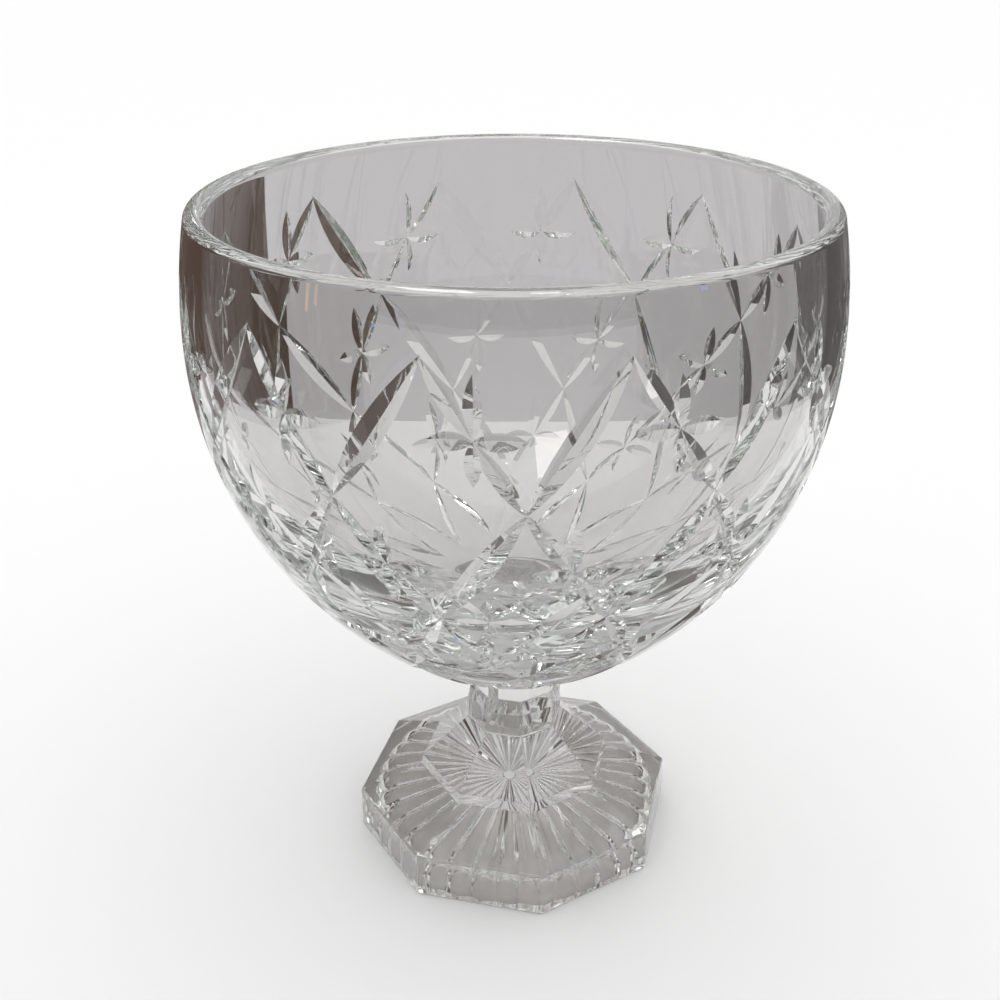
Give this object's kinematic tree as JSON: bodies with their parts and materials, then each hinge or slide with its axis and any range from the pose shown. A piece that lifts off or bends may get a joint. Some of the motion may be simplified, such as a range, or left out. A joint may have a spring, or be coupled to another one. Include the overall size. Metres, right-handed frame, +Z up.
{
  "type": "punch bowl",
  "caption": "Round footed punch bowl of cut crystal with crossing mitre cuts, on an octagonal fluted pedestal foot.",
  "frame": {"origin": "centre of the foot's resting face", "axes": "+Z up through the stem and out of the bowl's mouth; +X and +Y are square to flats of the octagonal foot"},
  "size_m": [0.254, 0.254, 0.2902],
  "materials": {
    "cut_crystal": "clear polished lead crystal",
    "pressed_crystal": "clear fire-polished crystal",
    "bond": "clear cured adhesive"
  },
  "bodies": {
    "root": {"bowl": "cut_crystal", "bond_film": "bond", "pedestal_foot": "pressed_crystal"}
  },
  "joints": []
}
